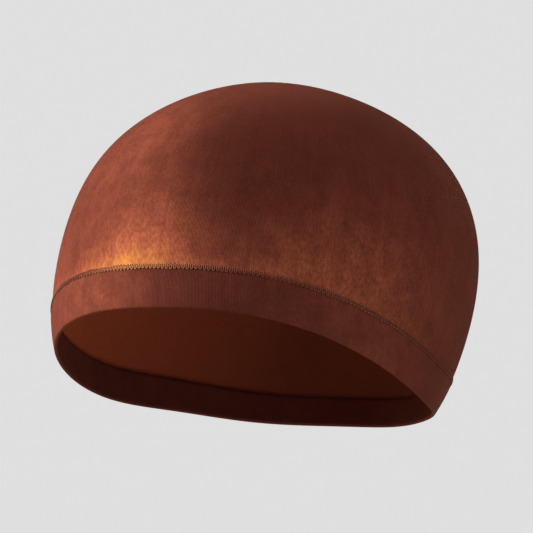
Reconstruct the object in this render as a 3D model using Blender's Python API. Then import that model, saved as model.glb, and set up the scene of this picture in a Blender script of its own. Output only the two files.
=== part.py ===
"""A stocking wig cap, in the form that a head gives it.

A sheer knitted crown covers the skull, a doubled welt runs round its opening, and a flat seam behind the
vertex closes the knitted tube. Metres, +Z up, with the brow towards -Y and the wearer's left towards +X.
The origin is on the inside of the crown at the vertex, where a head carries the cap.
"""

import math
from typing import NamedTuple

import bpy
import numpy as np

# Head form, which is the inside of the cap: reaches from a centre inside the skull
BROW_REACH = 0.089
OCCIPUT_REACH = 0.097
HALF_BREADTH = 0.079
VERTEX_HEIGHT = 0.079
UNDER_DEPTH = 0.0835

# Hem line, as drops below the inside of the vertex
BROW_DROP = 0.0765
NAPE_DROP = 0.1425

# Crown and welt
CROWN_WALL = 0.001
WELT_WALL = 0.0018
WELT_WIDTH = 0.0155
WELT_SHOULDER = 0.0006

# Closing seam, on the midline behind the vertex
SEAM_START = 0.028
SEAM_LENGTH = 0.060
SEAM_WIDTH = 0.0048
SEAM_HEIGHT = 0.0014

# Clearance between neighbouring pieces
PIECE_GAP = 0.0003

# Faces of each piece
AZIMUTH_STEPS = 64
CROWN_RINGS = 16
WELT_RINGS = 4
FOLD_STEPS = 4
SEAM_STATIONS = 14
SEAM_ARCH_STEPS = 6
MERIDIAN_SAMPLES = 400


class Section(NamedTuple):
    """A ring of the head form: degrees down from the vertex, and its radius as shares of an ellipsoid's."""

    down: float
    brow: float
    temple: float
    ear: float
    mastoid: float
    occiput: float


class HemPoint(NamedTuple):
    """A point of the hem: degrees round from the brow, and its share of the way from brow to nape drop."""

    azimuth: float
    share: float


SECTION_AZIMUTHS = (0, 45, 90, 135, 180)
SECTIONS = (
    Section(down=0, brow=1.00, temple=1.00, ear=1.00, mastoid=1.00, occiput=1.00),
    Section(down=30, brow=1.01, temple=1.01, ear=1.01, mastoid=1.00, occiput=0.99),
    Section(down=60, brow=0.98, temple=1.00, ear=1.02, mastoid=1.03, occiput=1.01),
    Section(down=90, brow=0.98, temple=1.02, ear=0.97, mastoid=1.01, occiput=1.00),
    Section(down=120, brow=1.00, temple=1.04, ear=1.01, mastoid=0.98, occiput=1.00),
    Section(down=150, brow=0.99, temple=0.99, ear=1.00, mastoid=0.99, occiput=0.98),
    Section(down=180, brow=1.00, temple=1.00, ear=1.00, mastoid=1.00, occiput=1.00),
)
HEM = (
    HemPoint(azimuth=0, share=0.00),
    HemPoint(azimuth=30, share=0.10),
    HemPoint(azimuth=60, share=0.45),
    HemPoint(azimuth=90, share=0.74),
    HemPoint(azimuth=120, share=0.87),
    HemPoint(azimuth=150, share=0.97),
    HemPoint(azimuth=180, share=1.00),
)


class Finish(NamedTuple):
    """Colour and gloss of one piece."""

    name: str
    colour: tuple
    roughness: float
    metallic: float


CROWN_KNIT = Finish("crown_knit", (0.15, 0.040, 0.024, 1.0), 0.75, 0.0)
WELT_KNIT = Finish("welt_knit", (0.11, 0.028, 0.018, 1.0), 0.80, 0.0)
SEAM_THREAD = Finish("seam_thread", (0.20, 0.060, 0.036, 1.0), 0.70, 0.0)


def cosine_basis(angles, terms):
    """cos(k * angle) for k from 0 up, which is even about both 0 and 180 degrees."""
    return np.cos(np.multiply.outer(angles, np.arange(terms)))


def form_coefficients():
    """The cosine series in both angles that passes through every share in SECTIONS."""
    shares = np.array([row[1:] for row in SECTIONS])
    downs = np.radians([row.down for row in SECTIONS])
    by_ring = np.linalg.solve(cosine_basis(downs, len(downs)), shares)
    azimuths = np.radians(SECTION_AZIMUTHS)
    return np.linalg.solve(cosine_basis(azimuths, len(azimuths)), by_ring.T).T


def hem_coefficients():
    """The cosine series in azimuth that passes through every share in HEM."""
    azimuths = np.radians([point.azimuth for point in HEM])
    return np.linalg.solve(cosine_basis(azimuths, len(azimuths)), [point.share for point in HEM])


FORM_SERIES = form_coefficients()
HEM_SERIES = hem_coefficients()


def form_point(azimuth, down):
    """The head form where a ray meets it that leaves its centre at these two angles, in radians."""
    azimuth, down = np.broadcast_arrays(azimuth, down)
    x = np.sin(down) * np.sin(azimuth)
    y = -np.sin(down) * np.cos(azimuth)
    z = np.cos(down)
    reach_y = np.where(y < 0, BROW_REACH, OCCIPUT_REACH)
    reach_z = np.where(z > 0, VERTEX_HEIGHT, UNDER_DEPTH)
    radius = 1 / np.sqrt((x / HALF_BREADTH) ** 2 + (y / reach_y) ** 2 + (z / reach_z) ** 2)
    down_terms = cosine_basis(down, len(FORM_SERIES))
    azimuth_terms = cosine_basis(azimuth, FORM_SERIES.shape[1])
    radius = radius * np.einsum("...i,ij,...j->...", down_terms, FORM_SERIES, azimuth_terms)
    return np.stack([radius * x, radius * y, radius * z - VERTEX_HEIGHT], axis=-1)


def form_slopes(azimuth, down):
    """How the form's point moves for each radian of azimuth and of down angle."""
    step = 1e-4
    by_azimuth = (form_point(azimuth + step, down) - form_point(azimuth - step, down)) / (2 * step)
    by_down = (form_point(azimuth, down + step) - form_point(azimuth, down - step)) / (2 * step)
    return by_azimuth, by_down


def lifted_point(azimuth, down, lift):
    """The form's point moved out along the surface's normal."""
    by_azimuth, by_down = form_slopes(azimuth, down)
    normal = np.cross(by_down, by_azimuth)
    normal /= np.linalg.norm(normal, axis=-1, keepdims=True)
    return form_point(azimuth, down) + normal * np.asarray(lift)[..., None]


def hem_down(azimuth):
    """The down angle at which each meridian reaches the hem line's height."""
    share = cosine_basis(azimuth, len(HEM_SERIES)) @ HEM_SERIES
    height = -(BROW_DROP + (NAPE_DROP - BROW_DROP) * share)
    samples = np.linspace(math.radians(20), math.radians(155), MERIDIAN_SAMPLES)
    heights = form_point(azimuth[:, None], samples)[..., 2]
    return np.array([np.interp(-z, -line, samples) for z, line in zip(height, heights)])


def down_above_hem(azimuth, width):
    """The down angle that lies this far up the surface from the hem, measured square to the hem line."""
    at_hem = hem_down(azimuth)
    step = 1e-3
    hem = form_point(azimuth, at_hem)
    along = form_point(azimuth + step, hem_down(azimuth + step)) - hem
    along /= np.linalg.norm(along, axis=-1, keepdims=True)
    _, by_down = form_slopes(azimuth, at_hem)
    radians_to_metres = np.linalg.norm(by_down, axis=-1)
    meridian = by_down / radians_to_metres[:, None]
    squareness = np.linalg.norm(np.cross(meridian, along), axis=-1)
    return at_hem - width / (squareness * radians_to_metres)


def ring_faces(rings, columns, closed_profile):
    """Quads between neighbouring rings of a grid that closes on itself along its columns."""
    faces = []
    for ring in range(rings if closed_profile else rings - 1):
        for column in range(columns):
            following = (column + 1) % columns
            upper = ring * columns
            lower = ((ring + 1) % rings) * columns
            faces.append((upper + column, lower + column, lower + following, upper + following))
    return faces


def add_object(name, vertices, faces, finish, parent):
    """A mesh object with its own material, shaded smooth apart from its hard edges."""
    mesh = bpy.data.meshes.new(name)
    mesh.from_pydata([tuple(v) for v in vertices], [], faces)
    mesh.shade_smooth()
    mesh.set_sharp_from_angle(angle=math.radians(50))
    material = bpy.data.materials.new(finish.name)
    material.use_nodes = True
    shader = material.node_tree.nodes["Principled BSDF"]
    shader.inputs["Base Color"].default_value = finish.colour
    shader.inputs["Roughness"].default_value = finish.roughness
    shader.inputs["Metallic"].default_value = finish.metallic
    mesh.materials.append(material)
    piece = bpy.data.objects.new(name, mesh)
    piece.parent = parent
    bpy.context.scene.collection.objects.link(piece)
    return piece


def column_azimuths():
    """Evenly spaced meridians, the first over the brow."""
    return np.arange(AZIMUTH_STEPS) * (2 * math.pi / AZIMUTH_STEPS)


def build_crown(parent):
    """The knitted shell: the head form from the vertex to the welt's upper edge, given its wall outwards."""
    azimuth = column_azimuths()
    edge = down_above_hem(azimuth, WELT_WIDTH)
    share = np.arange(1, CROWN_RINGS + 1)[:, None] / CROWN_RINGS
    rings = form_point(azimuth, share * edge)
    vertices = np.vstack([rings.reshape(-1, 3), form_point(0.0, 0.0)])
    apex = len(vertices) - 1
    faces = ring_faces(CROWN_RINGS, AZIMUTH_STEPS, closed_profile=False)
    faces += [(apex, c, (c + 1) % AZIMUTH_STEPS) for c in range(AZIMUTH_STEPS)]
    crown = add_object("crown", vertices, faces, CROWN_KNIT, parent)
    wall = crown.modifiers.new("wall", "SOLIDIFY")
    wall.thickness = CROWN_WALL
    wall.offset = 1
    wall.use_even_offset = True
    return crown


def welt_profile():
    """The folded welt's section, as widths above the hem and lifts off the form: up the inside first.

    The fold at the hem is a half round as thick as the welt, and the outer upper edge has a small
    shoulder where the turned ply ends.
    """
    fold = WELT_WALL / 2
    top = WELT_WIDTH - PIECE_GAP
    shoulder = min(WELT_SHOULDER, WELT_WALL / 2)
    inside = [(width, 0.0) for width in np.linspace(fold, top, WELT_RINGS + 1)]
    outside = [(width, WELT_WALL) for width in np.linspace(top - shoulder, fold, WELT_RINGS + 1)]
    turns = [math.pi * step / FOLD_STEPS for step in range(1, FOLD_STEPS)]
    folded = [(fold - fold * math.sin(turn), fold + fold * math.cos(turn)) for turn in turns]
    return inside + [(top, WELT_WALL - shoulder)] + outside + folded


def build_hem_band(parent):
    """The doubled welt: its section carried round the hem line."""
    azimuth = column_azimuths()
    rings = []
    for width, lift in welt_profile():
        down = down_above_hem(azimuth, width)
        rings.append(lifted_point(azimuth, down, np.full(AZIMUTH_STEPS, lift)))
    faces = ring_faces(len(rings), AZIMUTH_STEPS, closed_profile=True)
    return add_object("hem_band", np.vstack(rings), faces, WELT_KNIT, parent)


def build_crown_seam(parent):
    """The closing seam: a low arch carried along the midline behind the vertex, with rounded ends."""
    samples = np.linspace(0, math.pi / 2, MERIDIAN_SAMPLES)
    midline = form_point(math.pi, samples)
    run = np.append(0, np.cumsum(np.linalg.norm(np.diff(midline, axis=0), axis=1)))
    share = np.linspace(-1, 1, SEAM_STATIONS)
    down = np.interp(SEAM_START + SEAM_LENGTH * (share + 1) / 2, run, samples)
    fullness = 0.3 + 0.7 * np.sqrt(1 - share**6)
    arch = np.linspace(0, math.pi, SEAM_ARCH_STEPS + 1)
    across = np.cos(arch)[:, None] * fullness * SEAM_WIDTH / 2
    base = CROWN_WALL + PIECE_GAP
    lift = base + np.sin(arch)[:, None] * fullness * SEAM_HEIGHT
    points = lifted_point(np.full_like(down, math.pi), down, lift)
    points = points + across[..., None] * np.array([1.0, 0.0, 0.0])
    columns = len(arch)
    vertices = points.transpose(1, 0, 2).reshape(-1, 3)
    faces = [tuple(range(columns)), tuple(range(len(vertices) - 1, len(vertices) - 1 - columns, -1))]
    for station in range(SEAM_STATIONS - 1):
        for step in range(columns):
            near = station * columns
            far = near + columns
            following = (step + 1) % columns
            faces.append((near + step, far + step, far + following, near + following))
    return add_object("crown_seam", vertices, faces, SEAM_THREAD, parent)


def main():
    """Clears the scene and builds the cap's pieces under one empty."""
    for old in list(bpy.data.objects):
        bpy.data.objects.remove(old, do_unlink=True)
    cap = bpy.data.objects.new("wig_cap", None)
    bpy.context.scene.collection.objects.link(cap)
    build_crown(cap)
    build_hem_band(cap)
    build_crown_seam(cap)


main()
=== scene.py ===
"""A stocking wig cap: the looks of its knitted crown, doubled welt and closing seam, round the fixed frame.

Every new surface is a function of two parameters, worked out as whole numpy arrays. The head form gives the
place of each point, and the lift off it gives the cloth's faces. Metres, +Z up, the brow towards -Y and the
left ear towards +X. The origin is on the inside of the crown at the vertex.
"""

from __future__ import annotations

import logging
import math
from collections.abc import Sequence
from dataclasses import dataclass
from enum import Enum

import bmesh
import bpy
import numpy as np
from mathutils import Matrix


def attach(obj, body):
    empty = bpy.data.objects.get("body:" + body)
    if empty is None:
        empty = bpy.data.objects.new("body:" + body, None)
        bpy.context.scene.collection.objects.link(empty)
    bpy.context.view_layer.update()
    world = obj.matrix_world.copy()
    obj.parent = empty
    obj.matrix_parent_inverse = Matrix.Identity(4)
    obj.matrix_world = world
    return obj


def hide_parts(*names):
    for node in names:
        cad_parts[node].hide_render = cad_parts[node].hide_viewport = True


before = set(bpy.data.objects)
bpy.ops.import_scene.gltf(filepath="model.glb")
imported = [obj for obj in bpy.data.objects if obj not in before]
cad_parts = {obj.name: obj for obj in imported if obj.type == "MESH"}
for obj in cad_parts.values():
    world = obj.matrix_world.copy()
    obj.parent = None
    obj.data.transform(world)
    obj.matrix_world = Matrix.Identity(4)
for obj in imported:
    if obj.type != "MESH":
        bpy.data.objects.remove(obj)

Array = np.ndarray
Colour = tuple[float, float, float]
Socket = bpy.types.NodeSocket
Feed = Socket | float | Colour
LOG = logging.getLogger("wig_cap")
BODY = "root"
LEFT = np.array([1.0, 0.0, 0.0])
# The numbers of the sockets that a Mix node uses for colours
MIX_SHARE, MIX_LOW, MIX_HIGH, MIX_COLOUR = 0, 6, 7, 2


class Slot(Enum):
    """The record's material slots."""

    CROWN = "crown_knit"
    WELT = "welt_knit"
    THREAD = "seam_thread"


class KnitFace(Enum):
    """Which way a knitted face looks: upright chevrons, cross ridges, or the welt's tight ribs."""

    PLAIN = "plain"
    PURL = "purl"
    RIBBED = "ribbed"


# Formulas that several pieces share


def bell(value: Array, centre: float, spread: Array | float) -> Array:
    """A soft hump round a centre: exp(-((value - centre) / spread)^2)."""
    return np.exp(-(((value - centre) / spread) ** 2))


def unit(vectors: Array) -> Array:
    """Vectors of length 1: each divided by its own length."""
    return vectors / np.linalg.norm(vectors, axis=-1, keepdims=True)


def run_lengths(lines: Array) -> Array:
    """Lengths summed down the first axis of an array of points, starting from 0."""
    steps = np.linalg.norm(np.diff(lines, axis=0), axis=-1)
    return np.concatenate([0 * steps[:1], np.cumsum(steps, axis=0)])


def paired(u: Array, v: Array) -> Array:
    """A grid of texture places: u changes along its rows and v from row to row."""
    return np.stack(np.broadcast_arrays(u, v[:, None]), axis=-1)


def signed_azimuth(azimuth: Array) -> Array:
    """Azimuths from -180 to 180 degrees, 0 at the brow and positive towards the left ear."""
    return np.degrees(np.arctan2(np.sin(azimuth), np.cos(azimuth)))


@dataclass(frozen=True)
class Patch:
    """A soft-edged patch of the cloth: share * exp(-(turn / spread)^2) * exp(-(rise / reach)^2).

    The turn is measured in degrees from the patch's azimuth, and the rise in metres from its height above
    the welt.
    """

    share: float
    azimuth: float
    spread: float
    height: float
    reach: float

    def over(self, degrees: Array, above: Array) -> Array:
        """The patch's value at azimuths in degrees and at heights above the welt."""
        hump = bell(degrees, self.azimuth, self.spread)
        return self.share * hump * bell(above, self.height, self.reach)


# The head form and the hem line


def cosine_basis(angles: Array, terms: int) -> Array:
    """cos(k * angle) on a last axis, for k from 0 up to terms - 1: even about both 0 and 180 degrees."""
    return np.cos(np.multiply.outer(angles, np.arange(terms)))


def direction(azimuth: Array | float, down: Array | float) -> Array:
    """Gives the unit vector at an azimuth from the brow towards the left ear and an angle down from +Z.

    Args:
        azimuth: Radians round from -Y towards +X.
        down: Radians down from +Z.

    Returns:
        Unit vectors, the last axis being x, y and z.
    """
    azimuth, down = np.broadcast_arrays(azimuth, down)
    flat = np.sin(down)
    return np.stack([flat * np.sin(azimuth), -flat * np.cos(azimuth), np.cos(down)], axis=-1)


@dataclass(frozen=True)
class HeadForm:
    """The inside of the cap: radius = ellipsoid(direction) * sum of a_kl cos(k down) cos(l azimuth).

    Each row of sections is a ring of the form: degrees down from the vertex, then the radius as shares of
    the ellipsoid's at brow, temple, ear, mastoid and occiput. Each hem row is degrees round from the brow
    and the share of the way from the brow's drop to the nape's.
    """

    brow_reach: float = 0.089
    occiput_reach: float = 0.097
    half_breadth: float = 0.079
    vertex_height: float = 0.079
    under_depth: float = 0.0835
    brow_drop: float = 0.0765
    nape_drop: float = 0.1425
    section_azimuths: tuple[int, ...] = (0, 45, 90, 135, 180)
    sections: tuple[tuple[float, ...], ...] = (
        (0, 1.00, 1.00, 1.00, 1.00, 1.00),
        (30, 1.01, 1.01, 1.01, 1.00, 0.99),
        (60, 0.98, 1.00, 1.02, 1.03, 1.01),
        (90, 0.98, 1.02, 0.97, 1.01, 1.00),
        (120, 1.00, 1.04, 1.01, 0.98, 1.00),
        (150, 0.99, 0.99, 1.00, 0.99, 0.98),
        (180, 1.00, 1.00, 1.00, 1.00, 1.00),
    )
    hem: tuple[tuple[float, float], ...] = (
        (0, 0.00),
        (30, 0.10),
        (60, 0.45),
        (90, 0.74),
        (120, 0.87),
        (150, 0.97),
        (180, 1.00),
    )

    @property
    def centre(self) -> Array:
        """The point inside the form that all radii leave from."""
        return np.array([0.0, 0.0, -self.vertex_height])

    def series(self) -> Array:
        """Solves for the cosine series in both angles that passes through every share in sections.

        Returns:
            The factors a_kl, k for the down angle by l for the azimuth.
        """
        table = np.array(self.sections)
        by_ring = np.linalg.solve(cosine_basis(np.radians(table[:, 0]), len(table)), table[:, 1:])
        azimuths = np.radians(self.section_azimuths)
        return np.linalg.solve(cosine_basis(azimuths, len(azimuths)), by_ring.T).T

    def radius(self, ray: Array) -> Array:
        """Gives the form's radius along rays from its centre.

        Args:
            ray: Unit vectors.

        Returns:
            Radii, without the last axis of ray.
        """
        x, y, z = np.moveaxis(ray, -1, 0)
        reach_y = np.where(y < 0, self.brow_reach, self.occiput_reach)
        reach_z = np.where(z > 0, self.vertex_height, self.under_depth)
        ellipsoid = 1 / np.sqrt((x / self.half_breadth) ** 2 + (y / reach_y) ** 2 + (z / reach_z) ** 2)
        series = self.series()
        down_terms = cosine_basis(np.arccos(np.clip(z, -1, 1)), series.shape[0])
        azimuth_terms = cosine_basis(np.arctan2(x, -y), series.shape[1])
        return ellipsoid * np.einsum("...i,ij,...j->...", down_terms, series, azimuth_terms)

    def point(self, ray: Array) -> Array:
        """The form's points along unit vectors from its centre: centre + radius * ray."""
        return self.centre + self.radius(ray)[..., None] * ray

    def normal(self, ray: Array) -> Array:
        """Gives the outward normal: the cross product of the form's change along two rays square to ray.

        Args:
            ray: Unit vectors.

        Returns:
            Unit normals of the same shape.
        """
        step = 2e-3
        helper = np.where(np.abs(ray[..., :1]) < 0.7, [1.0, 0.0, 0.0], [0.0, 1.0, 0.0])
        first = unit(np.cross(ray, helper))
        changes = [
            self.point(unit(ray + step * side)) - self.point(unit(ray - step * side))
            for side in (first, np.cross(ray, first))
        ]
        return unit(np.cross(*changes))

    def lifted(self, ray: Array, lift: Array | float) -> Array:
        """The form's points moved out by lift along the normal."""
        return self.point(ray) + self.normal(ray) * np.asarray(lift)[..., None]

    def hem_down(self, azimuth: Array) -> Array:
        """Gives the down angle where each meridian falls to the hem line's height.

        Args:
            azimuth: Radians, one axis.

        Returns:
            Radians down, of the same shape.
        """
        table = np.array(self.hem)
        series = np.linalg.solve(cosine_basis(np.radians(table[:, 0]), len(table)), table[:, 1])
        share = cosine_basis(azimuth, len(series)) @ series
        height = -(self.brow_drop + (self.nape_drop - self.brow_drop) * share)
        samples = np.radians(np.linspace(20, 155, 500))
        heights = self.point(direction(azimuth[:, None], samples))[..., 2]
        return np.array([np.interp(-z, -line, samples) for z, line in zip(height, heights)])

    def above_hem(self, azimuth: Array, width: Array | float) -> Array:
        """Gives the down angle at a width up the surface from the hem, measured square to the hem line.

        It is the hem's down angle less width / |m x a|, where m is the metres per radian down the meridian
        and a is the unit vector along the hem.

        Args:
            azimuth: Radians, one axis.
            width: Metres up from the hem, one number or one for each azimuth.

        Returns:
            Radians down, of the same shape as azimuth.
        """
        step = 1e-3
        at_hem = self.hem_down(azimuth)
        here = self.point(direction(azimuth, at_hem))
        along = unit(self.point(direction(azimuth + step, self.hem_down(azimuth + step))) - here)
        meridian = (self.point(direction(azimuth, at_hem + step)) - here) / step
        return at_hem - width / np.linalg.norm(np.cross(meridian, along), axis=-1)


@dataclass(frozen=True)
class WaleField:
    """The run of the knit's wales over the head, from the closing seam down to the welt.

    Wale u, from 0 to 1 round from the brow, leaves the seam's slit on the midline and ends at an azimuth
    that spaces the wales evenly along the hem. In between its rays turn evenly from the one to the other.
    """

    form: HeadForm
    seam_start: float = 0.028
    seam_length: float = 0.060

    def midline_down(self, run: Array) -> Array:
        """Gives the down angle on the back midline, looked up in the summed lengths of 500 short steps.

        Args:
            run: Metres behind the vertex.

        Returns:
            Radians down, of the same shape.
        """
        samples = np.linspace(0, math.pi / 2, 500)
        line = self.form.point(direction(np.full_like(samples, math.pi), samples))
        return np.interp(run, run_lengths(line), samples)

    def azimuth(self, wale: Array) -> Array:
        """Gives each wale's azimuth at the hem, so that equal steps of u are equal lengths of hem.

        Args:
            wale: u, from 0 to 1.

        Returns:
            Radians round from the brow.
        """
        samples = np.linspace(0, 2 * math.pi, 721)
        hem = self.form.point(direction(samples, self.form.hem_down(samples)))
        runs = run_lengths(hem)
        return np.interp(wale, runs / runs[-1], samples)

    def slit_ray(self, wale: Array) -> Array:
        """The ray to wale u's end on the slit: run = start + length * (1 - cos 2 pi u) / 2."""
        run = self.seam_start + self.seam_length * (1 - np.cos(2 * math.pi * wale)) / 2
        return direction(np.full_like(wale, math.pi), self.midline_down(run))

    def rays(self, wale: Array, share: Array, edge_width: float) -> Array:
        """Gives rays along each wale: sin((1-t) w) / sin w * slit ray + sin(t w) / sin w * edge ray.

        Args:
            wale: u of each column.
            share: t of each row, 0 at the slit and 1 at the edge.
            edge_width: How far above the hem the edge lies, in metres.

        Returns:
            Unit vectors, rows by columns by 3.
        """
        azimuth = self.azimuth(wale)
        start = self.slit_ray(wale)
        end = direction(azimuth, self.form.above_hem(azimuth, edge_width))
        turn = np.arccos(np.clip((start * end).sum(-1), -1, 1))
        share = share[:, None]
        rays = np.sin((1 - share) * turn)[..., None] * start + np.sin(share * turn)[..., None] * end
        return unit(rays / np.sin(turn)[:, None])


# Meshes from arrays


def cell_corners(grid: Array) -> Array:
    """The corners of each cell of a grid, in order: (i, j), (i+1, j), (i+1, j+1) and (i, j+1)."""
    return np.stack([grid[:-1, :-1], grid[1:, :-1], grid[1:, 1:], grid[:-1, 1:]], axis=2)


def link_mesh(name: str, vertices: Array, faces: Sequence[list[int]], corner_uv: Array) -> bpy.types.Object:
    """Makes a smooth-shaded object at the origin from points, faces and the texture place of each corner.

    Args:
        name: The object's name.
        vertices: Points, n by 3.
        faces: Lists of vertex numbers.
        corner_uv: One pair for each corner, in the faces' order.

    Returns:
        The new object.
    """
    mesh = bpy.data.meshes.new(name)
    mesh.from_pydata(vertices.tolist(), [], faces)
    layer = mesh.uv_layers.new(name="Knit")
    layer.data.foreach_set("uv", np.asarray(corner_uv, dtype=np.float32).ravel())
    mesh.shade_smooth()
    mesh.update()
    piece = bpy.data.objects.new(name, mesh)
    bpy.context.scene.collection.objects.link(piece)
    return piece


def set_point_attribute(piece: bpy.types.Object, name: str, values: Array) -> None:
    """Stores one number for each vertex, which the materials read by name."""
    attribute = piece.data.attributes.new(name, "FLOAT", "POINT")
    attribute.data.foreach_set("value", np.asarray(values, dtype=np.float32).ravel())


def merge_points(piece: bpy.types.Object) -> None:
    """Merges a piece's points that share a place, such as those at its tips.

    Args:
        piece: The object, whose mesh is changed.
    """
    work = bmesh.new()
    work.from_mesh(piece.data)
    bmesh.ops.remove_doubles(work, verts=work.verts, dist=1e-7)
    work.to_mesh(piece.data)
    work.free()


def grid_piece(
    name: str,
    points: Array,
    uv: Array,
    attributes: dict[str, Array],
    slots: Array | None = None,
    rows_close: bool = False,
    ends_pinch: bool = False,
) -> bpy.types.Object:
    """Makes a piece from a grid of points whose columns close on themselves.

    A pinched end row is zipped shut: its column j and its column n-j are one vertex.

    Args:
        name: The object's name.
        points: Rows by columns by 3.
        uv: Rows (one more if the rows close) by columns plus one by 2.
        attributes: Rows by columns of numbers for the vertices, by name.
        slots: The material number of each row of faces, where there are several materials.
        rows_close: Joins the last row to the first.
        ends_pinch: Zips the first row and the last row.

    Returns:
        The new object.
    """
    rows, columns = points.shape[:2]
    index = np.arange(rows * columns).reshape(rows, columns)
    if ends_pinch:
        half = columns // 2
        for row in (0, rows - 1):
            index[row, half + 1 :] = index[row, half - 1 : 0 : -1]
    kept, index = np.unique(index, return_inverse=True)
    index = index.reshape(rows, columns)
    if rows_close:
        index = np.vstack([index, index[:1]])
    quads = cell_corners(np.hstack([index, index[:, :1]])).reshape(-1, 4)
    piece = link_mesh(name, points.reshape(-1, 3)[kept], quads.tolist(), cell_corners(uv).reshape(-1, 2))
    if slots is not None:
        piece.data.polygons.foreach_set("material_index", np.repeat(slots, columns).astype(np.int32))
    for label, values in attributes.items():
        set_point_attribute(piece, label, values.reshape(-1)[kept])
    return piece


def round_skin(path: Array, tangent: Array, normal: Array, radius: Array, sides: int) -> Array:
    """Gives a round strand's skin: path + radius * (cos a * upright + sin a * side).

    Side is the cross product of tangent and normal, and upright that of side and tangent.

    Args:
        path: Points along the strand, the last axis being x, y and z.
        tangent: Vectors along it.
        normal: The surface's normal there.
        radius: The strand's radius there.
        sides: Points round it.

    Returns:
        The path's shape with the points round it as one more axis, before the last.
    """
    tangent = unit(tangent)
    side = unit(np.cross(tangent, normal))
    upright = np.cross(side, tangent)
    turn = np.arange(sides)[:, None] * (2 * math.pi / sides)
    ring = np.cos(turn) * upright[..., None, :] + np.sin(turn) * side[..., None, :]
    return path[..., None, :] + radius[..., None, None] * ring


def tube_piece(name: str, paths: Array, normals: Array, radius: Array, sides: int) -> bpy.types.Object:
    """Makes one piece of many round strands that all have the same number of points.

    Flat ends close each strand. Its texture runs from 0 to 1 along and from 0 to 1 round.

    Args:
        name: The object's name.
        paths: Strands by points by 3.
        normals: The surface normal at each of those points.
        radius: The strand's radius at each point along.
        sides: Points round each strand.

    Returns:
        The new object.
    """
    strands, stations = paths.shape[:2]
    skin = round_skin(paths, np.gradient(paths, axis=1), normals, radius, sides)
    index = np.arange(stations * sides).reshape(stations, sides)
    quads = cell_corners(np.hstack([index, index[:, :1]])).reshape(-1, 4)
    caps = np.stack([index[0], index[-1, ::-1]])
    first = np.arange(strands)[:, None, None] * index.size
    faces = (first + quads).reshape(-1, 4).tolist() + (first + caps).reshape(-1, sides).tolist()
    along, around = np.linspace(0, 1, stations)[:, None], np.linspace(0, 1, sides + 1)
    corner_uv = cell_corners(np.stack(np.broadcast_arrays(along, around), axis=-1)).reshape(-1, 2)
    corner_uv = np.vstack([np.tile(corner_uv, (strands, 1)), np.zeros((2 * strands * sides, 2))])
    return link_mesh(name, skin.reshape(-1, 3), faces, corner_uv)


# Node graphs for the finishes


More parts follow.
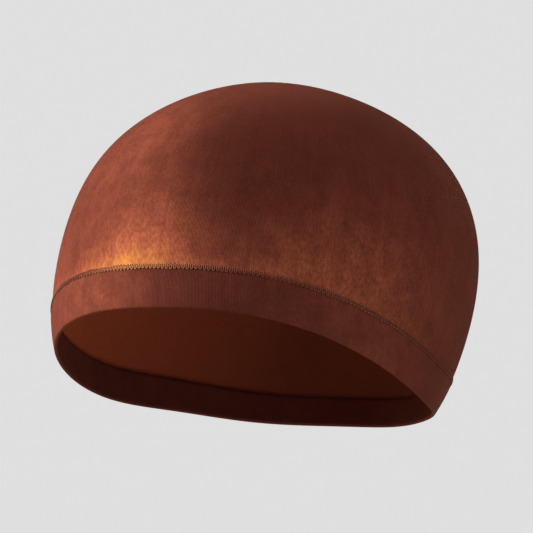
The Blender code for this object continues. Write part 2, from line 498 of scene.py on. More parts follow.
class Graph:
    """A material's node tree, with short methods for the nodes that the finishes share."""

    def __init__(self, name: str) -> None:
        """Starts a material with a Principled shader.

        Args:
            name: The material's name.
        """
        self.material = bpy.data.materials.new(name)
        self.material.use_nodes = True
        self.tree = self.material.node_tree
        self.shader = self.tree.nodes["Principled BSDF"]

    def put(self, value: Feed, socket: Socket) -> None:
        """Feeds a socket from another socket, or sets it to a plain value.

        Args:
            value: The other socket, or the number or colour.
            socket: The socket that takes it.
        """
        if isinstance(value, Socket):
            self.tree.links.new(value, socket)
        else:
            socket.default_value = (*value, 1.0) if isinstance(value, tuple) else value

    def node(self, kind: str, feeds: dict[int | str, Feed], **settings: object) -> bpy.types.Node:
        """Makes a node and feeds its inputs.

        Args:
            kind: Its type's name in Blender.
            feeds: What goes into its inputs, by number or name.
            **settings: Its own properties, by name.

        Returns:
            The new node.
        """
        made = self.tree.nodes.new(kind)
        for key, value in settings.items():
            setattr(made, key, value)
        for key, value in feeds.items():
            self.put(value, made.inputs[key])
        return made

    def maths(self, operation: str, *values: Feed) -> Socket:
        """A Math node's result from its values, in order."""
        return self.node("ShaderNodeMath", dict(enumerate(values)), operation=operation).outputs[0]

    def blend(self, share: Feed, low: Feed, high: Feed) -> Socket:
        """The colour from low to high at a share from 0 to 1."""
        feeds = {MIX_SHARE: share, MIX_LOW: low, MIX_HIGH: high}
        return self.node("ShaderNodeMix", feeds, data_type="RGBA").outputs[MIX_COLOUR]

    def spread(self, value: Feed, low: float, high: float, to_low: float, to_high: float) -> Socket:
        """Maps low..high smoothly onto to_low..to_high, and holds it there beyond."""
        feeds = dict(enumerate((value, low, high, to_low, to_high)))
        return self.node("ShaderNodeMapRange", feeds, interpolation_type="SMOOTHSTEP").outputs[0]

    def vary(self, value: Feed, noise: Socket, amount: float, reach: float = 0.25) -> Socket:
        """Multiplies by 1 - amount to 1 + amount, as the noise goes from 0.5 - reach to 0.5 + reach."""
        factor = self.spread(noise, 0.5 - reach, 0.5 + reach, 1.0 - amount, 1.0 + amount)
        return self.maths("MULTIPLY", value, factor)

    def knit_uv(self) -> Sequence[Socket]:
        """The piece's own texture map: u round the cap and v along the wales."""
        place = self.node("ShaderNodeUVMap", {}, uv_map="Knit").outputs["UV"]
        return self.node("ShaderNodeSeparateXYZ", {0: place}).outputs[:2]

    def attribute(self, name: str) -> Socket:
        """A number stored on the piece's vertices."""
        return self.node("ShaderNodeAttribute", {}, attribute_name=name).outputs["Fac"]

    def noise(self, scale: float, detail: float = 2.0, place: Socket | None = None) -> Socket:
        """Smooth noise from 0 to 1, read at the Object coordinates, in metres, or at a place of its own.

        Args:
            scale: Its humps for each unit of the place.
            detail: How many finer layers it has.
            place: The place, where it isn't the Object coordinates.

        Returns:
            The noise's socket.
        """
        if place is None:
            place = self.node("ShaderNodeTexCoord", {}).outputs["Object"]
        feeds = {"Vector": place, "Scale": scale, "Detail": detail}
        return self.node("ShaderNodeTexNoise", feeds).outputs["Fac"]

    def loop_place(self, knit: tuple[Socket, Socket], steps: tuple[float, float], layer: float) -> Socket:
        """A place for noise that follows the knit: steps of it for each wale and course, and its layer."""
        across, along = (self.maths("MULTIPLY", count, step) for count, step in zip(knit, steps))
        return self.node("ShaderNodeCombineXYZ", {0: across, 1: along, 2: layer}).outputs[0]

    def bump(self, height: Socket, distance: float, strength: float, under: Socket | None = None) -> Socket:
        """Tilts the normal, or under's normal, by a height from 0 to 1 that stands for distance metres."""
        feeds = {"Height": height, "Distance": distance, "Strength": strength}
        return self.node("ShaderNodeBump", feeds if under is None else feeds | {"Normal": under}).outputs[0]

    def let_through(self, share: float, colour: Feed, normal: Socket) -> None:
        """Lets a share of the light pass through the cloth, in a colour of its own.

        Args:
            share: How much passes, from 0 to 1.
            colour: The colour that it takes.
            normal: The cloth's tilted normal.
        """
        thin = self.node("ShaderNodeBsdfTranslucent", {"Color": colour, "Normal": normal})
        shaders = {0: share, 1: self.shader.outputs[0], 2: thin.outputs[0]}
        both = self.node("ShaderNodeMixShader", shaders)
        self.put(both.outputs[0], self.tree.nodes["Material Output"].inputs["Surface"])


def loop_height(graph: Graph, face: KnitFace, wales: Socket, courses: Socket) -> Socket:
    """Gives the relief of knitted loops, from 0 in the gaps to 1 on the yarn.

    Across a wale, a = |2 fract(wales) - 1| is 0 on its middle line and 1 on its borders. A plain face has
    two legs that lean apart: sqrt(sin(pi fract(courses + 0.6 a))) * sin(pi a). A purl face has cross ridges
    that wave with the wales: (1 + sin(2 pi courses + 1.2 cos(2 pi wales))) / 2. The welt's face is the plain
    one with stronger ribs and fainter courses.

    Args:
        graph: The material's nodes.
        face: Which face of the knit it is.
        wales: Wales counted round the cap.
        courses: Courses counted down from the seam.

    Returns:
        The socket of the height.
    """
    if face is KnitFace.PURL:
        wave = graph.maths("COSINE", graph.maths("MULTIPLY", wales, 2 * math.pi))
        turn = graph.maths("MULTIPLY_ADD", courses, 2 * math.pi, graph.maths("MULTIPLY", wave, 1.2))
        return graph.maths("MULTIPLY_ADD", graph.maths("SINE", turn), 0.5, 0.5)
    across = graph.maths("ABSOLUTE", graph.maths("MULTIPLY_ADD", graph.maths("FRACT", wales), 2.0, -1.0))
    leaning = graph.maths("FRACT", graph.maths("ADD", courses, graph.maths("MULTIPLY", across, 0.6)))
    arch = graph.maths("SINE", graph.maths("MULTIPLY", leaning, math.pi))
    stitch = graph.maths("SQRT", graph.maths("MAXIMUM", arch, 0.0))
    leg = graph.maths("MAXIMUM", graph.maths("SINE", graph.maths("MULTIPLY", across, math.pi)), 0.0)
    if face is KnitFace.RIBBED:
        stitch = graph.maths("MULTIPLY_ADD", stitch, 0.55, 0.45)
    return graph.maths("MULTIPLY", stitch, leg)


@dataclass(frozen=True)
class KnitFinish:
    """A knitted cloth's finish: yarn, painted shade in its gaps, thin-knit tones with a painted highlight,
    sheen and relief.

    Wales and courses are counted over the whole texture map. Streaks, mottling, blotches and grains are the
    shares by which each noise varies the shade, and sheer_streaks and sheer_blotches vary how far the tone is
    golden.
    The steps and scales are each noise's humps for a loop and for a metre, and depths are in metres.
    """

    name: str
    face: KnitFace
    yarn: Colour
    gap: Colour
    courses: float
    loop_depth: float
    wales: float = 440
    streak_depth: float = 0.0001
    relief: float = 0.6
    # Warm and golden are the tones of knit stretched thin; golden is partly a painted highlight.
    warm: Colour = (0.385, 0.099, 0.050)
    golden: Colour = (0.78, 0.305, 0.066)
    roughness: float = 0.68
    gloss: float = 0.008
    gloss_tint: Colour = (1.0, 0.52, 0.34)
    sheen: float = 0.09
    sheen_tint: Colour = (1.0, 0.36, 0.13)
    sheen_roughness: float = 0.3
    streaks: float = 0.05
    mottling: float = 0.09
    blotches: float = 0.05
    grains: float = 0.10
    sheer_streaks: float = 0.07
    sheer_blotches: float = 0.14
    painted_shade_depth: float = 0.63
    streak_steps: tuple[float, float] = (0.30, 0.012)
    grain_steps: tuple[float, float] = (0.9, 0.45)
    cloud_scale: float = 38.0
    blotch_scale: float = 150.0
    glow: float = 0.30
    through: Colour = (0.54, 0.23, 0.135)

    def material(self) -> bpy.types.Material:
        """Builds the material: the loops, and tones that vary with four noises and two attributes.

        The streaks run along the wales, the grain from loop to loop, and clouds and blotches lie over them.
        The first attribute, partly knit stretched thin and partly a painted highlight, takes the yarn's tone
        to warm and then to golden, and the gaps' painted shade towards the yarn's. The second, painted shade,
        multiplies the whole by 1 down to the finish's darkest share.

        Returns:
            The new material.
        """
        graph = Graph(self.name)
        u, v = graph.knit_uv()
        wales = graph.maths("MULTIPLY", u, self.wales)
        courses = graph.maths("MULTIPLY", v, self.courses)
        height = loop_height(graph, self.face, wales, courses)
        streak = graph.noise(1.0, 3.0, graph.loop_place((wales, courses), self.streak_steps, 0.0))
        grain = graph.noise(1.0, 2.0, graph.loop_place((wales, courses), self.grain_steps, 7.0))
        cloud = graph.noise(self.cloud_scale, 4.0)
        blotch = graph.noise(self.blotch_scale, 3.0)
        # On the crown this attribute is partly the tone of knit stretched thin and partly a painted
        # highlight; on the welt and the threads it is only a painted highlight.
        sheer_and_lit = graph.attribute("sheer_and_lit")
        ragged = graph.spread(grain, 0.25, 0.75, -0.06, 0.06)
        ragged = graph.maths("MULTIPLY", ragged, graph.spread(sheer_and_lit, 0.05, 0.4, 0.0, 1.0))
        sheer_and_lit = graph.maths("ADD", sheer_and_lit, ragged)
        sheer_and_lit = graph.vary(sheer_and_lit, blotch, self.sheer_blotches)
        sheer_and_lit = graph.vary(sheer_and_lit, streak, self.sheer_streaks)
        tone = graph.blend(graph.spread(sheer_and_lit, 0.0, 0.5, 0.0, 1.0), self.yarn, self.warm)
        tone = graph.blend(graph.spread(sheer_and_lit, 0.35, 1.0, 0.0, 1.0), tone, self.golden)
        # The gaps between the loops are painted shade, eased towards the yarn's tone where the knit turns
        # warm.
        gap = graph.blend(graph.spread(sheer_and_lit, 0.0, 0.8, 0.0, 0.75), self.gap, tone)
        colour = graph.blend(graph.spread(height, 0.05, 0.75, 0.35, 1.0), gap, tone)
        # Painted shade from its attribute, then random tone from the noises.
        shade = graph.spread(graph.attribute("painted_shade"), 0.0, 1.0, 1.0, self.painted_shade_depth)
        shade = graph.vary(shade, streak, self.streaks)
        shade = graph.vary(shade, cloud, self.mottling)
        shade = graph.vary(shade, blotch, self.blotches)
        shade = graph.vary(shade, grain, self.grains, 0.3)
        shaded = graph.node("ShaderNodeHueSaturation", {"Value": shade, "Color": colour}).outputs[0]
        sockets = graph.shader.inputs
        graph.put(shaded, sockets["Base Color"])
        roughness = graph.spread(height, 0.0, 1.0, self.roughness + 0.1, self.roughness - 0.06)
        graph.put(roughness, sockets["Roughness"])
        sockets["Specular IOR Level"].default_value = self.gloss
        sockets["Specular Tint"].default_value = (*self.gloss_tint, 1.0)
        sockets["Sheen Weight"].default_value = self.sheen
        sockets["Sheen Roughness"].default_value = self.sheen_roughness
        sockets["Sheen Tint"].default_value = (*self.sheen_tint, 1.0)
        lines = graph.bump(streak, self.streak_depth, 0.5)
        relief = graph.bump(height, self.loop_depth, self.relief, lines)
        graph.put(relief, sockets["Normal"])
        graph.let_through(self.glow, graph.blend(sheer_and_lit, self.through, self.golden), relief)
        return graph.material


@dataclass(frozen=True)
class ThreadFinish:
    """A thread's finish: two plies that twist round each other, with painted shade between them, paler with a
    painted highlight where its attribute says so.

    Twists are counted over one length of the texture map.
    """

    name: str
    colour: Colour
    dark: Colour
    twists: float
    pale: Colour = (0.62, 0.27, 0.11)
    roughness: float = 0.66
    gloss: float = 0.08
    gloss_tint: Colour = (1.0, 0.6, 0.42)
    sheen: float = 0.03
    fuzz_scale: float = 900.0
    ply_depth: float = 0.00006

    def material(self) -> bpy.types.Material:
        """Builds the material: ply = |sin(pi (twists * along + 2 * around))| sets colour and relief.

        Returns:
            The new material.
        """
        graph = Graph(self.name)
        u, v = graph.knit_uv()
        turn = graph.maths("MULTIPLY_ADD", u, self.twists, graph.maths("MULTIPLY", v, 2.0))
        ply = graph.maths("ABSOLUTE", graph.maths("SINE", graph.maths("MULTIPLY", turn, math.pi)))
        fuzz = graph.noise(self.fuzz_scale)
        # Paler with a painted highlight where the attribute says so; dark between the plies as painted shade,
        # and random dark fuzz.
        colour = graph.blend(graph.attribute("sheer_and_lit"), self.colour, self.pale)
        colour = graph.blend(graph.spread(ply, 0.0, 0.8, 0.0, 1.0), self.dark, colour)
        colour = graph.blend(graph.spread(fuzz, 0.3, 0.7, 0.0, 0.25), colour, self.dark)
        sockets = graph.shader.inputs
        graph.put(colour, sockets["Base Color"])
        roughness = graph.spread(fuzz, 0.2, 0.8, self.roughness - 0.08, self.roughness + 0.12)
        graph.put(roughness, sockets["Roughness"])
        sockets["Specular IOR Level"].default_value = self.gloss
        sockets["Specular Tint"].default_value = (*self.gloss_tint, 1.0)
        sockets["Sheen Weight"].default_value = self.sheen
        graph.put(graph.bump(ply, self.ply_depth, 0.8), sockets["Normal"])
        return graph.material


Finish = KnitFinish | ThreadFinish


@dataclass(frozen=True)
class PaperFinish:
    """The pale matt floor and backdrop."""

    name: str = "studio_paper"
    colour: Colour = (0.4277, 0.4277, 0.4483)
    tooth: float = 0.015
    tooth_scale: float = 60.0
    roughness: float = 0.9

    def material(self) -> bpy.types.Material:
        """Builds the material: one pale tone that noise darkens by up to the share of tooth.

        Returns:
            The new material.
        """
        graph = Graph(self.name)
        tooth = graph.noise(self.tooth_scale)
        low = tuple(c * (1 - self.tooth) for c in self.colour)
        graph.put(graph.blend(tooth, low, self.colour), graph.shader.inputs["Base Color"])
        graph.shader.inputs["Roughness"].default_value = self.roughness
        graph.shader.inputs["Specular IOR Level"].default_value = 0.0
        return graph.material


def dress(
    piece: bpy.types.Object, finishes: Sequence[Finish], replaced: str | None = None
) -> bpy.types.Object:
    """Gives a piece its materials, lets it ride on the cap's body and hides the frame's node that it stands
    for.

    Args:
        piece: The finished object.
        finishes: Its finishes, in the order of its material numbers.
        replaced: The node of the frame that it stands for.

    Returns:
        The same piece.
    """
    for finish in finishes:
        piece.data.materials.append(finish.material())
    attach(piece, BODY)
    if replaced is not None:
        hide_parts(replaced)
    LOG.info("%s: %d faces", piece.name, len(piece.data.polygons))
    return piece


# The cap's finishes

# Each knit's gap colour is the painted shade between its loops.
CROWN_OUTSIDE = KnitFinish(
    "crown_outside",
    KnitFace.PLAIN,
    yarn=(0.137, 0.0326, 0.0214),
    gap=(0.082, 0.0192, 0.0127),
    courses=165,
    loop_depth=0.00016,
)
CROWN_INSIDE = KnitFinish(
    "crown_inside",
    KnitFace.PURL,
    yarn=(0.120, 0.0270, 0.0180),
    gap=(0.064, 0.0143, 0.0098),
    courses=165,
    loop_depth=0.00016,
)
WELT_FACE = KnitFinish(
    "welt_face",
    KnitFace.RIBBED,
    yarn=(0.114, 0.0264, 0.0172),
    gap=(0.070, 0.0162, 0.0108),
    courses=40,
    loop_depth=0.00012,
    glow=0.12,
)
RIDGE_FACE = KnitFinish(
    "ridge_face",
    KnitFace.RIBBED,
    yarn=(0.118, 0.0255, 0.0165),
    gap=(0.068, 0.0145, 0.0098),
    courses=120,
    loop_depth=0.00012,
    glow=0.06,
)
SEWING_THREAD = ThreadFinish("sewing_thread", (0.150, 0.036, 0.0225), (0.070, 0.016, 0.0105), twists=3.0)
LOOPER_THREAD = ThreadFinish("looper_thread", (0.185, 0.046, 0.028), (0.085, 0.020, 0.0125), twists=260.0)


# The cap's pieces


@dataclass(frozen=True)
class Welt:
    """The doubled hem: one strip of knit that goes up the inside, turns round the hem and comes up outside.

    The outside ply is drawn in against the crown by grip, which fades over grip_run down from its edge. The
    plies' contours begin lip_round below that edge, which rounds it.
    """

    field: WaleField
    width: float = 0.0155
    thickness: float = 0.0015
    ply: float = 0.00045
    top_gap: float = 0.0003
    lip_round: float = 0.00012
    grip: float = 0.00022
    grip_run: float = 0.0015
    shaded_edge: float = 0.0026
    columns: int = 448
    flat_round: float = 0.36
    ripple: float = 0.00005

    def section(self) -> tuple[Array, Array, Array]:
        """Gives the strip's closed section as widths above the hem, lifts off the head and knit heights.

        The outer contour goes down the outside, round the hem on a half circle as thick as the welt, and up
        the inside. The inner contour comes back between the plies, round a smaller half circle. The outside
        ply is drawn in by grip * exp(-distance from its edge / grip_run).

        Returns:
            Widths, lifts, and the distance along the strip as a share from 0 to 1.
        """
        top = self.width - self.top_gap
        start = top - self.lip_round
        middle = self.thickness / 2
        turn = np.linspace(0, math.pi, 11)[1:-1]
        runs = np.linspace(0, 1, 9)
        contours = []
        for reach in (middle, middle - self.ply):
            straight = start - (start - middle) * runs
            width = np.concatenate([straight, middle - reach * np.sin(turn), straight[::-1]])
            outside = middle + reach - self.grip * np.exp(-(top - straight) / self.grip_run)
            lift = np.concatenate([outside, middle + reach * np.cos(turn), 0 * runs + middle - reach])
            strip = run_lengths(np.stack([width, lift], axis=-1))
            contours.append((width, lift, strip / strip[-1]))
        (outer_w, outer_l, outer_s), (inner_w, inner_l, inner_s) = contours
        lip = self.ply / 2
        widths = np.concatenate([[top], outer_w, [top], inner_w[::-1]])
        lifts = np.concatenate([[self.thickness - lip - self.grip], outer_l, [lip], inner_l[::-1]])
        strips = np.concatenate([[0.0], outer_s, [1.0], inner_s[::-1]])
        return widths, lifts, strips

    def tones(self, azimuth: Array, widths: Array, lifts: Array) -> dict[str, Array]:
        """Gives the welt's tones as sums of soft humps round the head: paler at both sides of the brow, a
        painted highlight.

        Painted shade makes it darker between them and along the outside ply's top edge.

        Args:
            azimuth: Radians of each column.
            widths: The section's widths above the hem.
            lifts: Its lifts off the head.

        Returns:
            The attributes of painted highlight and painted shade, rows by columns.
        """
        degrees = signed_azimuth(azimuth)
        # Painted shade along the outside ply's top edge and between the highlights, painted highlight at both
        # sides of the brow.
        edge = np.exp(-(self.width - widths) / self.shaded_edge) * (lifts > self.thickness / 2)
        lit = 0.17 * (bell(degrees, -22, 20) + 0.8 * bell(degrees, 53, 20))
        shade_share = 0.5 * bell(degrees, 12, 16) + 0.9 * edge[:, None] * bell(degrees, -10, 20)
        return {"sheer_and_lit": np.broadcast_to(lit, shade_share.shape), "painted_shade": shade_share}

    def build(self) -> bpy.types.Object:
        """Carries the section round the hem line: point = form lifted by lift at width above the hem.

        Returns:
            The welt's object.
        """
        form = self.field.form
        widths, lifts, strips = self.section()
        wide_wale = np.arange(self.columns + 1) / self.columns
        wale = wide_wale[:-1]
        azimuth = self.field.azimuth(wale)
        downs = np.stack([form.above_hem(azimuth, width) for width in widths])
        swell = np.sin(57 * 2 * math.pi * wale + 0.8) + 0.7 * np.sin(91 * 2 * math.pi * wale)
        lift = lifts[:, None] + self.ripple * swell * np.clip(widths / self.width, 0, 1)[:, None]
        points = form.lifted(direction(azimuth, downs), lift)
        uv = paired(wide_wale, np.append(strips, strips[0]))
        return grid_piece("welt", points, uv, self.tones(azimuth, widths, lifts), rows_close=True)

    def dressed(self) -> bpy.types.Object:
        """The welt with its finish."""
        return dress(self.build(), [WELT_FACE], "hem_band")


@dataclass(frozen=True)
class Crown:
    """The see-through knitted shell: a tube drawn over the head, tucked into the welt and shut by the seam.

    The warm patches are partly a painted highlight on its lit side and partly a warmer tone where it is
    stretched thin, and the dark patch is painted shade on the side away from the key light.
    """

    field: WaleField
    welt: Welt
    outer_lift: float = 0.0010
    inner_lift: float = 0.0006
    tuck: float = 0.0014
    rows: int = 132
    columns: int = 320
    flat_round: float = 0.36
    flat_length: float = 0.165
    welt_gathers: float = 0.00007
    welt_fade: float = 0.006
    seam_gathers: float = 0.00022
    seam_rise: float = 0.0015
    seam_fade: float = 0.013
    brow_height: float = 0.0042
    lobe_height: float = 0.0058
    haze_height: float = 0.030
    # Partly a painted highlight high on the crown's lit side, partly the warmer tone of knit stretched thin.
    warm_patches: tuple[Patch, ...] = (
        Patch(share=0.165, azimuth=-23, spread=27, height=0.060, reach=0.034),
        Patch(share=0.05, azimuth=-5, spread=10, height=0.060, reach=0.020),
        Patch(share=0.09, azimuth=-2, spread=8, height=0.013, reach=0.013),
        Patch(share=0.09, azimuth=46, spread=20, height=0.012, reach=0.020),
        Patch(share=0.08, azimuth=72, spread=30, height=0.035, reach=0.040),
    )
    # Painted shade on the side of the crown away from the key light.
    shade_patch: Patch = Patch(share=1.0, azimuth=14, spread=20, height=0.042, reach=0.036)

    def relief(self, wale: Array, above: Array, from_slit: Array) -> Array:
        """Gives the cloth's own relief: small gathers over the welt and at the seam.

        It is welt_gathers * exp(-above / welt_fade) * a sum of sines of 2 pi k u, and seam_gathers *
        exp(-distance / seam_fade) * (1 - exp(-distance / seam_rise)) * a swelling sine of 2 pi 46 u.

        Args:
            wale: u of each column.
            above: Metres above the welt, rows by columns.
            from_slit: Metres from the seam's slit, rows by columns.

        Returns:
            Lift in metres, rows by columns.
        """
        turn = 2 * math.pi * wale
        low = np.sin(83 * turn + 0.6) + 0.8 * np.sin(57 * turn + 2.1) + 0.6 * np.sin(131 * turn)
        high = np.sin(46 * turn + 0.4) * (0.7 + 0.3 * np.sin(7 * turn))
        fade_in = 1 - np.exp(-from_slit / self.seam_rise)
        over_welt = self.welt_gathers * np.exp(-above / self.welt_fade) * low
        return over_welt + self.seam_gathers * np.exp(-from_slit / self.seam_fade) * fade_in * high

    def thin_and_lit_share(self, degrees: Array, above: Array) -> Array:
        """Gives how far the tone turns warm, from 0 to 1: partly the knit stretched thin, partly a painted
        highlight.

        It is body * (0.11 line + 0.28 lobe) + haze + the warm patches. Lobe is a hump over the brow, a little
        to the right of its middle, and line is 1 over the front and fades out at the temples. Body falls as
        exp(-(above / height)^2), with height = brow_height + lobe_height * lobe made slightly ragged by two
        sines. Haze falls in the same way over haze_height, and is weaker at two places round the brow.

        Args:
            degrees: Each column's azimuth, from -180 to 180.
            above: Metres above the welt, rows by columns.

        Returns:
            Shares, rows by columns.
        """
        lobe = bell(degrees, -13, 15.5)
        line = np.exp(-((degrees / 64) ** 4))
        turn = np.radians(degrees)
        height = self.brow_height + self.lobe_height * lobe
        height = height * (1 + 0.08 * np.sin(turn * 23) + 0.06 * np.sin(turn * 41 + 1))
        body = bell(np.maximum(above, 0), 0, height)
        dip = 1 - 0.5 * bell(degrees, 17, 13) - 0.52 * bell(degrees, -36, 20)
        haze = 0.30 * line * dip * bell(above, 0, self.haze_height)
        patches = sum(patch.over(degrees, above) for patch in self.warm_patches)
        return np.clip(body * (0.11 * line + 0.28 * lobe) + haze + patches, 0, 1)

    def build(self) -> bpy.types.Object:
        """Carries the wales from the seam's slit down to the welt outside, and back up inside.

        Returns:
            The crown's object.
        """
        form = self.field.form
        wide_wale = np.arange(self.columns + 1) / self.columns
        wale = wide_wale[:-1]
        share = np.linspace(0, 1, self.rows)
        rays = self.field.rays(wale, share, self.welt.width - self.tuck)
        base = form.point(rays)
        from_slit = run_lengths(base)
        above = from_slit[-1] - from_slit - self.tuck
        relief = self.relief(wale, above, from_slit)
        normal = form.normal(rays)
        outer = base + normal * (self.outer_lift + relief)[..., None]
        inner = base + normal * (self.inner_lift + relief)[..., None]
        degrees = signed_azimuth(self.field.azimuth(wale))
        # Thin-knit tone with a painted highlight, and a patch of painted shade.
        tones = {"sheer_and_lit": self.thin_and_lit_share(degrees, above), "painted_shade": self.shade_patch.over(degrees, above)}
        return grid_piece(
            "crown_shell",
            np.concatenate([outer, inner[::-1]]),
            paired(wide_wale, np.concatenate([share, share[::-1]])),
            {name: np.concatenate([tone, tone[::-1]]) for name, tone in tones.items()},
            np.repeat([0, 1], [self.rows, self.rows - 1]),
            ends_pinch=True,
        )

    def dressed(self) -> bpy.types.Object:
        """The crown with its finishes for the outside and the inside."""
        return dress(self.build(), [CROWN_OUTSIDE, CROWN_INSIDE], "crown")


@dataclass(frozen=True)
class TransferRow:
    """The coarse course that joins the turned ply to the crown: one yarn in rounded loops all the way round.

    The loops swing about a line over_edge above the welt's edge, and their feet lie bed deep in its face.
    """

    field: WaleField
    welt: Welt
    crown: Crown
    loops: int = 280
    rise: float = 0.00090
    swing: float = 0.12
    unevenness: float = 0.22
    strand: float = 0.00019
    over_edge: float = 0.0001
    bed: float = 0.0001
    stations: int = 16
    sides: int = 6

    def build(self) -> bpy.types.Object:
        """Builds the yarn: up = rise * (1 + unevenness * sway) * cos(a), along = swing * pitch * sin(2a).

        Here a = loops * 2 pi u, and sway is the sum of two slower sines of u. The yarn lies on the crown at
        the top of each loop and on the welt at its foot, with lift between them as (1 - cos a) / 2, and it
        bows out by 0.8 of its radius where it crosses the edge.

        Returns:
            The row's object.
        """
        form = self.field.form
        count = self.loops * self.stations
        turn = np.arange(count) / self.stations * 2 * math.pi
        wale = np.arange(count) / count + self.swing / self.loops * np.sin(2 * turn)
        azimuth = self.field.azimuth(wale % 1.0)
        sway = 0.6 * np.sin(23 * 2 * math.pi * wale + 1) + 0.4 * np.sin(61 * 2 * math.pi * wale)
        width = self.welt.width + self.over_edge + self.rise * (1 + self.unevenness * sway) * np.cos(turn)
        share = (1 - np.cos(turn)) / 2
        low = self.crown.outer_lift + (self.welt.thickness - self.bed - self.crown.outer_lift) * share
        lift = low + self.strand * (0.35 + 0.8 * np.sin(turn) ** 2)
        rays = direction(azimuth, form.above_hem(azimuth, width))
        path = form.lifted(rays, lift)
        tangent = np.roll(path, -1, axis=0) - np.roll(path, 1, axis=0)
        radius = self.strand * (1 + 0.12 * np.cos(2 * turn))
        skin = round_skin(path, tangent, form.normal(rays), radius, self.sides).swapaxes(0, 1)
        uv = paired(np.arange(count + 1) / self.stations, np.linspace(0, 1, self.sides + 1))
        degrees = signed_azimuth(azimuth)
        # Painted highlight on the yarn beside the brow and towards the right.
        lit = 0.75 * bell(degrees, -9, 15) + 0.20 * bell(degrees, 48, 24)
        tones = {"sheer_and_lit": np.broadcast_to(lit, (self.sides, count))}
        return grid_piece("transfer_row", skin, uv, tones, rows_close=True)

    def dressed(self) -> bpy.types.Object:
        """The row with its thread's finish."""
        return dress(self.build(), [SEWING_THREAD])


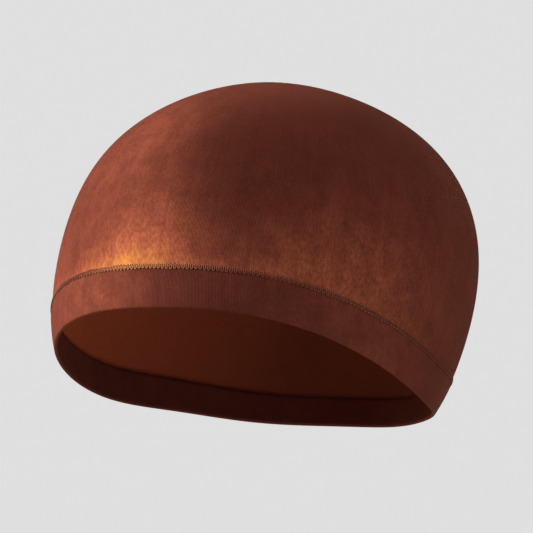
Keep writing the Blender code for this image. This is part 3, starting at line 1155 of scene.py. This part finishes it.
@dataclass(frozen=True)
class ClosingSeam:
    """The overlocked seam that shuts the tube: a soft ridge of cut edges, wrapped in looper threads.

    Each row of loopers is one thread: how many stitches it lags behind, and how far its middle line stands
    off the ridge. The needle's stitches run end to end at needle_side, a share of the ridge's half width.
    The ends are how far the threads reach, as shares of the ridge's half length.
    """

    field: WaleField
    base: float = 0.00105
    width: float = 0.0048
    height: float = 0.0014
    pitch: float = 0.0021
    strand: float = 0.00017
    dent: float = 0.07
    stations: int = 160
    loopers: tuple[tuple[float, float], ...] = ((0.0, 0.00012), (0.5, 0.00030))
    looper_reach: float = 0.96
    looper_skew: float = 0.35
    looper_end: float = 0.97
    needle_side: float = -0.55
    needle_end: float = 0.95
    needle_low: float = 0.00008
    needle_arch: float = 0.00018
    sides: int = 6

    def middle_line(self, share: Array) -> tuple[Array, Array, Array]:
        """Gives the ridge's middle line, where run = start + length * (share + 1) / 2 behind the vertex.

        Args:
            share: Place along the ridge, from -1 to 1.

        Returns:
            Runs, points on the head form, and unit normals.
        """
        run = self.field.seam_start + self.field.seam_length * (share + 1) / 2
        ray = direction(np.full_like(run, math.pi), self.field.midline_down(run))
        return run, self.field.form.point(ray), self.field.form.normal(ray)

    def fullness(self, share: Array) -> Array:
        """The ridge's size along its length, from -1 to 1: 0.3 + 0.7 sqrt(1 - share^6)."""
        return 0.3 + 0.7 * np.sqrt(np.clip(1 - share**6, 0, 1))

    def on_ridge(self, share: Array, across: Array, proud: float) -> tuple[Array, Array]:
        """Gives points on the ridge's skin: across = cos a and lift = sin a of a half ellipse.

        Args:
            share: Place along the ridge, from -1 to 1.
            across: Place across it, from -1 to 1.
            proud: How far outside the skin, in metres.

        Returns:
            Points, and the skin's normals.
        """
        _, points, normals = self.middle_line(share)
        full = self.fullness(share)
        across = np.clip(across, -1, 1)
        rise = np.sqrt(1 - across**2)
        skin_normal = unit(across[:, None] * self.height * LEFT + rise[:, None] * self.width / 2 * normals)
        place = points + normals * (self.base + self.height * full * rise)[:, None]
        return place + (across * full * self.width / 2)[:, None] * LEFT + skin_normal * proud, skin_normal

    def build_ridge(self) -> bpy.types.Object:
        """Builds the ridge: half-ellipse arches along the middle line, dented between the stitches.

        The dent is a cosine of 2 pi run / pitch, and each end is drawn together to a point.

        Returns:
            The ridge's object.
        """
        arch, flat = np.linspace(0, math.pi, 17), np.linspace(-1, 1, 7)[1:-1]
        share = np.linspace(-1, 1, self.stations)
        run, points, normals = self.middle_line(share)
        dented = 1 - self.dent * (1 + np.cos(2 * math.pi * run / self.pitch)) / 2
        full = (self.fullness(share) * dented)[:, None]
        across = np.concatenate([np.cos(arch), flat]) * full * self.width / 2
        lift = self.base + np.concatenate([np.sin(arch), 0 * flat]) * full * self.height
        grid = (points[:, None] + normals[:, None] * lift[..., None] + across[..., None] * LEFT)[::-1]
        columns = grid.shape[1]
        tips = [np.repeat(end.mean(axis=1, keepdims=True), columns, 1) for end in (grid[:1], grid[-1:])]
        grid = np.concatenate([tips[0], grid, tips[1]])
        uv = paired(np.linspace(0, 1, columns + 1) * 0.02, np.pad(run * 8, 1, mode="edge"))
        piece = grid_piece("seam_ridge", grid, uv, {"sheer_and_lit": np.zeros(grid.shape[:2])})
        merge_points(piece)
        return piece

    def build_loopers(self) -> bpy.types.Object:
        """Builds the looper threads: across = looper_reach * cos(2 pi run / pitch), skewed to slant them.

        Returns:
            The threads' object.
        """
        cycles = self.field.seam_length / self.pitch
        stations = int(cycles * 18)
        share = np.linspace(-self.looper_end, self.looper_end, stations)
        paths, normals = [], []
        for lag, proud in self.loopers:
            phase = math.pi * (share * cycles + 2 * lag)
            skew = self.looper_skew * self.pitch / self.field.seam_length * 2 * np.sin(2 * phase + lag * 6)
            place, normal = self.on_ridge(share + skew, self.looper_reach * np.cos(phase), proud)
            paths.append(place)
            normals.append(normal)
        radius = np.full(stations, self.strand)
        return tube_piece("looper_threads", np.stack(paths), np.stack(normals), radius, self.sides)

    def build_needle_line(self) -> bpy.types.Object:
        """Builds the needle thread: stitches in a row, each 0.88 of a step long and arched as a half sine.

        Returns:
            The thread's object.
        """
        count = int(self.field.seam_length / self.pitch) - 2
        step = 2 * self.needle_end / count
        share = np.linspace(0, 1, 6)
        starts = -self.needle_end + step * np.arange(count)
        along = (starts[:, None] + step * (0.06 + 0.88 * share)).ravel()
        arch = np.tile(self.needle_arch * np.sin(math.pi * share), count)
        place, normal = self.on_ridge(along, np.full_like(along, self.needle_side), 0.0)
        place = place + normal * (self.needle_low + arch)[:, None]
        shape = (count, len(share), 3)
        radius = np.full(len(share), self.strand)
        return tube_piece("needle_thread", place.reshape(shape), normal.reshape(shape), radius, self.sides)

    def dressed(self) -> list[bpy.types.Object]:
        """Builds the ridge and its threads, with their finishes.

        Returns:
            The ridge, the looper threads and the needle thread.
        """
        return [
            dress(self.build_ridge(), [RIDGE_FACE], "crown_seam"),
            dress(self.build_loopers(), [LOOPER_THREAD]),
            dress(self.build_needle_line(), [SEWING_THREAD]),
        ]


# The studio


def hang(name: str, data: bpy.types.ID, axes: Sequence[Array], place: Array) -> bpy.types.Object:
    """Links a camera or a lamp.

    Args:
        name: The object's name.
        data: The camera's or lamp's own data.
        axes: Where its x, y and z axes point.
        place: Where it stands.

    Returns:
        The new object.
    """
    item = bpy.data.objects.new(name, data)
    matrix = np.eye(4)
    matrix[:3] = np.column_stack([*axes, place])
    item.matrix_world = Matrix(matrix.tolist())
    bpy.context.scene.collection.objects.link(item)
    return item


@dataclass(frozen=True)
class Studio:
    """A pale floor that runs to the horizon, soft light and a camera at the photograph's angle to the cap.

    Angles are in degrees, an azimuth being measured round from the brow. The key is one soft sun, so it
    lights cap and floor evenly.
    """

    form: HeadForm
    azimuth: float = 26.0
    elevation: float = 6.0
    roll: float = -2.5
    distance: float = 1.6
    view_width: float = 0.2085
    rise: float = 0.008
    sensor: float = 36.0
    floor_drop: float = 0.275
    floor_radius: float = 400.0
    sky: float = 0.74
    key_azimuth: float = -72.0
    key_elevation: float = 24.0
    key_softness: float = 22.0
    key_strength: float = 7.75
    key_tint: Colour = (1.0, 1.0, 0.92)

    def camera(self) -> None:
        """Places the camera: back = (sin a cos e, -cos a cos e, sin e), turned about itself by the roll."""
        turn, tilt, roll = (math.radians(v) for v in (self.azimuth, self.elevation, self.roll))
        back = direction(turn, math.pi / 2 - tilt)
        level = np.array([math.cos(turn), math.sin(turn), 0.0])
        upright = np.cross(back, level)
        right = math.cos(roll) * level + math.sin(roll) * upright
        up = -math.sin(roll) * level + math.cos(roll) * upright
        lens = bpy.data.cameras.new("camera")
        lens.sensor_width = self.sensor
        lens.lens = self.sensor * self.distance / self.view_width
        lens.clip_end = 1000.0
        place = self.form.centre + up * self.rise + back * self.distance
        bpy.context.scene.camera = hang("camera", lens, (right, up, back), place)

    def key(self) -> None:
        """Hangs the key light on the ray from the cap at its azimuth and elevation."""
        light = bpy.data.lights.new("key", "SUN")
        light.angle = math.radians(self.key_softness)
        light.energy = self.key_strength
        light.color = self.key_tint
        ray = direction(math.radians(self.key_azimuth), math.radians(90 - self.key_elevation))
        side = unit(np.cross([0.0, 0.0, 1.0], ray))
        hang("key", light, (side, np.cross(ray, side), ray), 2 * ray)

    def floor(self) -> None:
        """Builds the floor: rings of radius floor_radius * share^2 round the cap, out to the horizon."""
        radius = self.floor_radius * np.linspace(0, 1, 25)[:, None] ** 2
        turn = np.arange(96) * (2 * math.pi / 96)
        depth = np.full((len(radius), len(turn)), -self.floor_drop)
        grid = np.stack([radius * np.sin(turn), -radius * np.cos(turn), depth], axis=-1)
        piece = grid_piece("floor", grid, np.zeros((len(radius), len(turn) + 1, 2)), {})
        merge_points(piece)
        piece.data.materials.append(PaperFinish().material())

    def world(self) -> None:
        """Sets the even grey light from all round."""
        world = bpy.data.worlds.new("studio")
        world.use_nodes = True
        background = world.node_tree.nodes["Background"]
        background.inputs["Color"].default_value = (1.0, 1.0, 1.0, 1.0)
        background.inputs["Strength"].default_value = self.sky
        bpy.context.scene.world = world

    def build(self) -> None:
        """Sets up the camera, the floor, the light and the view's tone curve."""
        self.camera()
        self.floor()
        self.world()
        self.key()
        bpy.context.scene.view_settings.view_transform = "Standard"


def main() -> None:
    """Builds the studio and the cap's pieces in order, and logs each."""
    logging.basicConfig(level=logging.INFO, format="%(name)s: %(message)s")
    form = HeadForm()
    field = WaleField(form)
    Studio(form).build()

    welt = Welt(field)
    crown = Crown(field, welt)
    crown_piece = crown.dressed()
    welt_piece = welt.dressed()
    joining_row = TransferRow(field, welt, crown).dressed()
    seam_pieces = ClosingSeam(field).dressed()


if __name__ == "__main__":
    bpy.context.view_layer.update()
    main()
